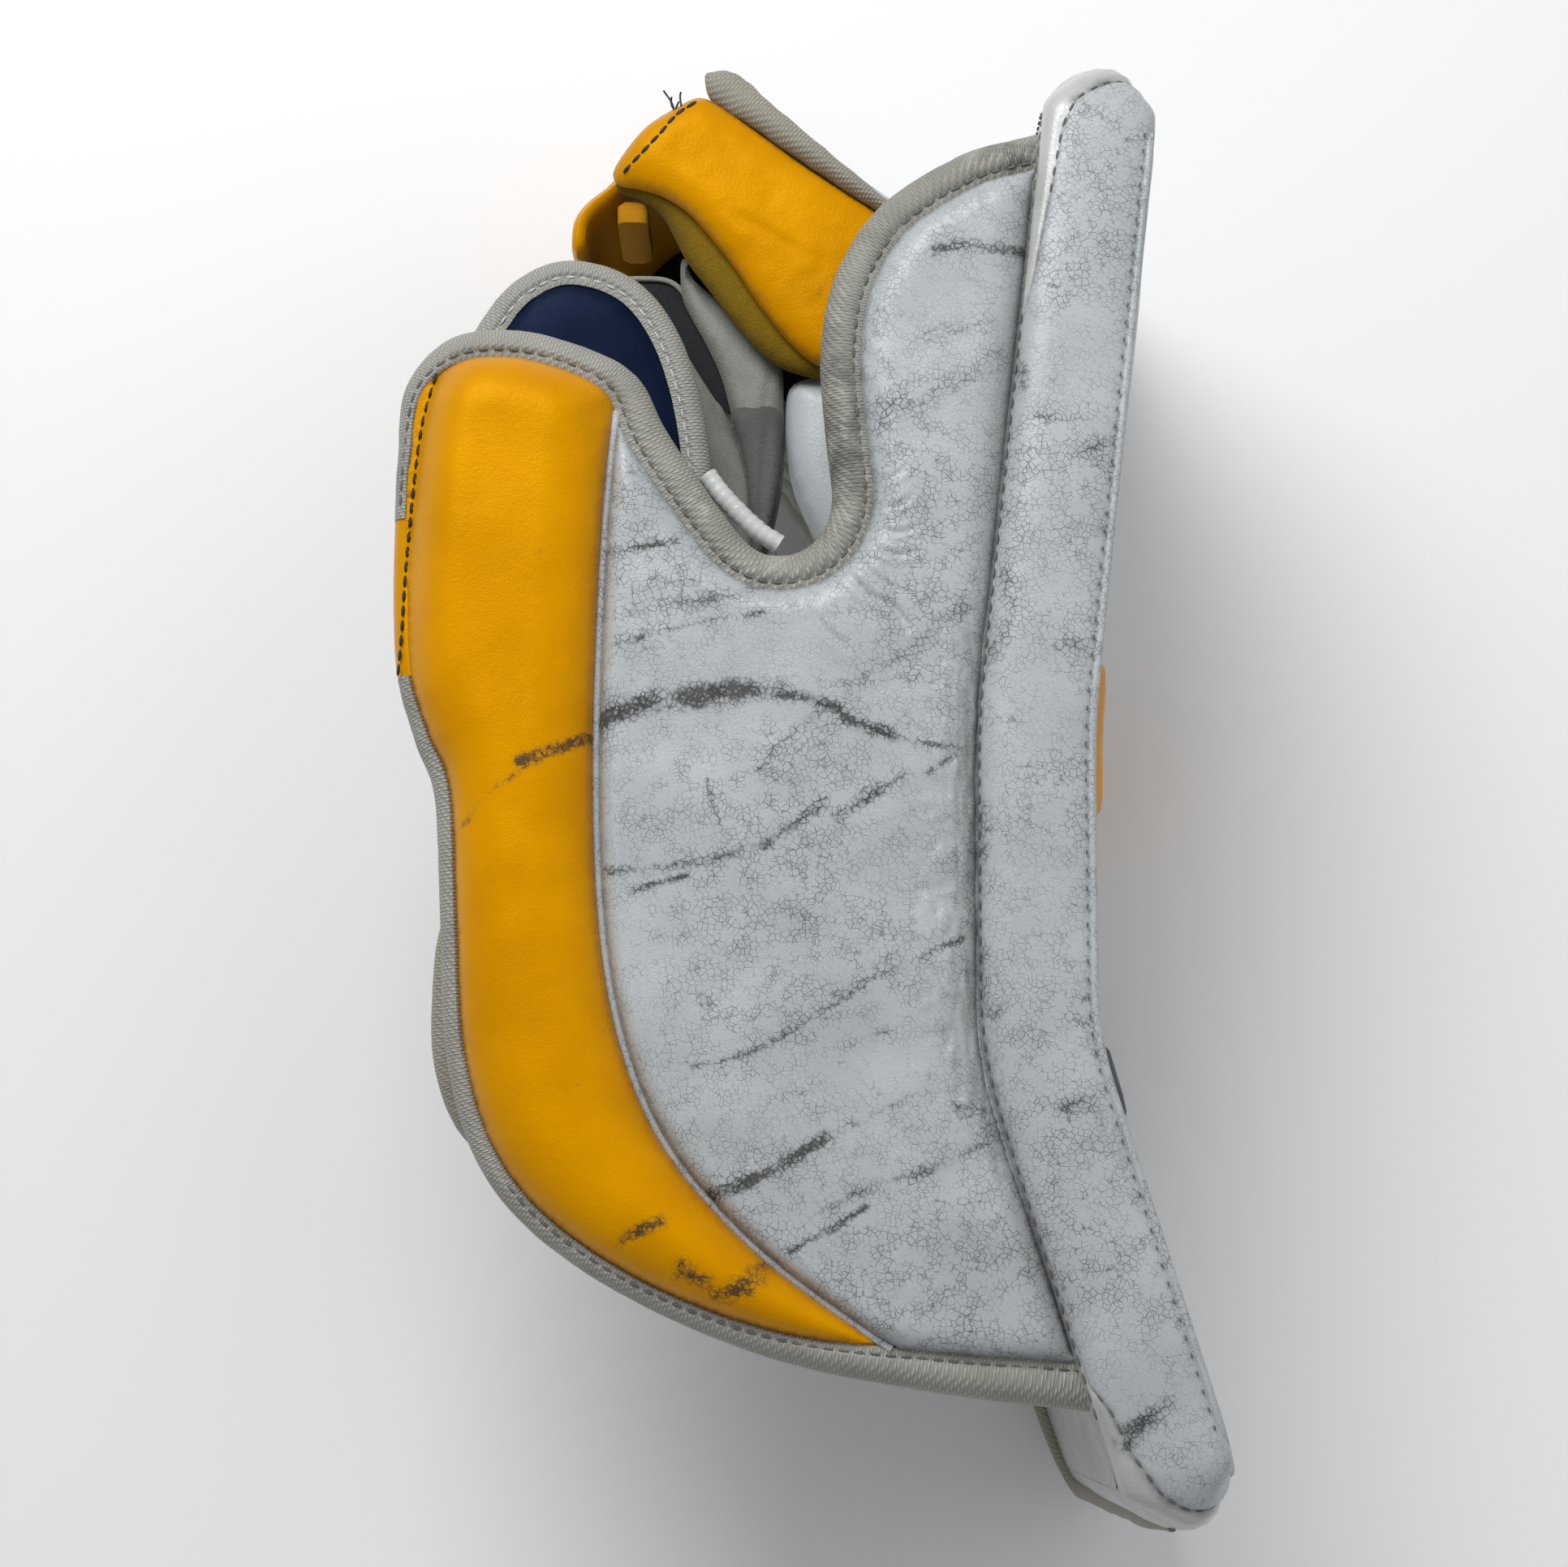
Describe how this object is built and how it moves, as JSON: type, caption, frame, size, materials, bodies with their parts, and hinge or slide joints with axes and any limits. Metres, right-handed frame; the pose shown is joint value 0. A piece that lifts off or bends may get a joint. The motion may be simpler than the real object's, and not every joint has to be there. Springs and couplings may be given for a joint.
{
  "type": "ice hockey goalie blocker",
  "caption": "Worn ice hockey goalie blocker: bent padded board, tall padded sidewall with a stick notch, hinged finger guard, swinging thumb guard and a palm glove.",
  "frame": {"origin": "on the face of the board's outer long edge, the face the blocker rests on, level with the waist", "axes": "+X the way the blocking face looks, +Y towards the finger end, +Z towards the thumb side, up as it lies"},
  "size_m": [0.2198, 0.4067, 0.203],
  "materials": {
    "white_leather": "satin synthetic leather, fine crackle, dark scuffs",
    "yellow_leather": "glossy synthetic leather",
    "navy_leather": "glossy synthetic leather",
    "grey_binding": "woven nylon edging, soiled",
    "cream_binding": "woven edging",
    "grey_suede": "soft nubuck",
    "olive_lining": "woven lining",
    "black_fabric": "brushed knit",
    "foam": "closed-cell foam",
    "plastic_sheet": "smooth sheet",
    "steel": "satin"
  },
  "bodies": {
    "board": {"board_edge_band": "white_leather", "board_back_cover": "white_leather", "board_back_foam": "foam", "board_stiffener": "plastic_sheet", "board_core_foam": "foam", "face_panel_cuff": "white_leather", "face_panel_navy": "navy_leather", "face_panel_waist": "white_leather", "face_panel_yellow": "yellow_leather", "face_panel_finger": "white_leather", "face_welt": "white_leather", "cuff_binding": "cream_binding", "sidewall_binding_upper": "grey_binding", "roll_edge_strip": "yellow_leather", "sidewall_binding_lower": "grey_binding", "sidewall_lining": "grey_suede", "sidewall_foam": "foam", "sidewall_stiffener": "plastic_sheet", "sidewall_cover": "white_leather", "roll_core": "foam", "roll_cover": "yellow_leather", "sidewall_flange": "plastic_sheet", "flange_bolt_1": "steel", "flange_bolt_2": "steel", "flange_bolt_3": "steel", "flange_bolt_4": "steel", "wrist_pad": "grey_suede", "wrist_pad_binding": "cream_binding", "thumb_lace": "white_leather", "index_knuckle_pad": "white_leather", "pad_loop_sheet": "black_fabric", "hand_back_pad": "black_fabric", "glove_palm": "grey_suede", "thumb_gusset": "grey_suede", "palm_patch": "grey_suede", "strap_loop_patch": "black_fabric", "pinky_guard_binding": "grey_binding", "pinky_guard_pad": "white_leather"},
    "finger_guard": {"finger_guard_stiffener": "plastic_sheet", "finger_guard_cover": "white_leather", "finger_guard_lining": "black_fabric", "finger_guard_binding": "grey_binding", "finger_guard_outer_binding": "grey_binding", "finger_guard_tip": "yellow_leather", "finger_guard_hinge_strip": "grey_suede", "index_guard_cover": "yellow_leather", "index_guard_lining": "olive_lining", "index_guard_tab": "yellow_leather"},
    "thumb_guard": {"thumb_guard_cover": "navy_leather", "thumb_guard_lining": "black_fabric", "thumb_guard_binding": "grey_binding", "thumb_stall": "grey_suede"},
    "wrist_strap": {"wrist_strap": "black_fabric", "strap_hook_patch": "black_fabric"},
    "finger_little": {"finger_stall_little": "grey_suede"},
    "finger_ring": {"finger_stall_ring": "grey_suede"},
    "finger_middle": {"finger_stall_middle": "grey_suede"},
    "finger_index": {"finger_stall_index": "grey_suede"}
  },
  "joints": [
    {"name": "finger_guard_flex", "type": "hinge", "parent": "board", "child": "finger_guard", "pos_m": [-0.0075, 0.1455, 0.08625], "axis": [0, 0, 1], "range_deg": [-10, 12]},
    {"name": "thumb_guard_swing", "type": "hinge", "parent": "board", "child": "thumb_guard", "pos_m": [-0.13, 0.002, 0.162], "axis": [0, 0, 1], "range_deg": [-8, 5]},
    {"name": "wrist_strap_open", "type": "hinge", "parent": "board", "child": "wrist_strap", "pos_m": [-0.0665, -0.059, 0.154], "axis": [0, 1, 0], "range_deg": [0, 80]},
    {"name": "finger_curl_little", "type": "hinge", "parent": "board", "child": "finger_little", "pos_m": [-0.044, 0.078, 0.056], "axis": [0, 0, 1], "range_deg": [-15, 25]},
    {"name": "finger_curl_ring", "type": "hinge", "parent": "board", "child": "finger_ring", "pos_m": [-0.044, 0.078, 0.0775], "axis": [0, 0, 1], "range_deg": [-15, 25]},
    {"name": "finger_curl_middle", "type": "hinge", "parent": "board", "child": "finger_middle", "pos_m": [-0.044, 0.078, 0.099], "axis": [0, 0, 1], "range_deg": [-15, 25]},
    {"name": "finger_curl_index", "type": "hinge", "parent": "board", "child": "finger_index", "pos_m": [-0.044, 0.078, 0.1205], "axis": [0, 0, 1], "range_deg": [-15, 25]}
  ]
}
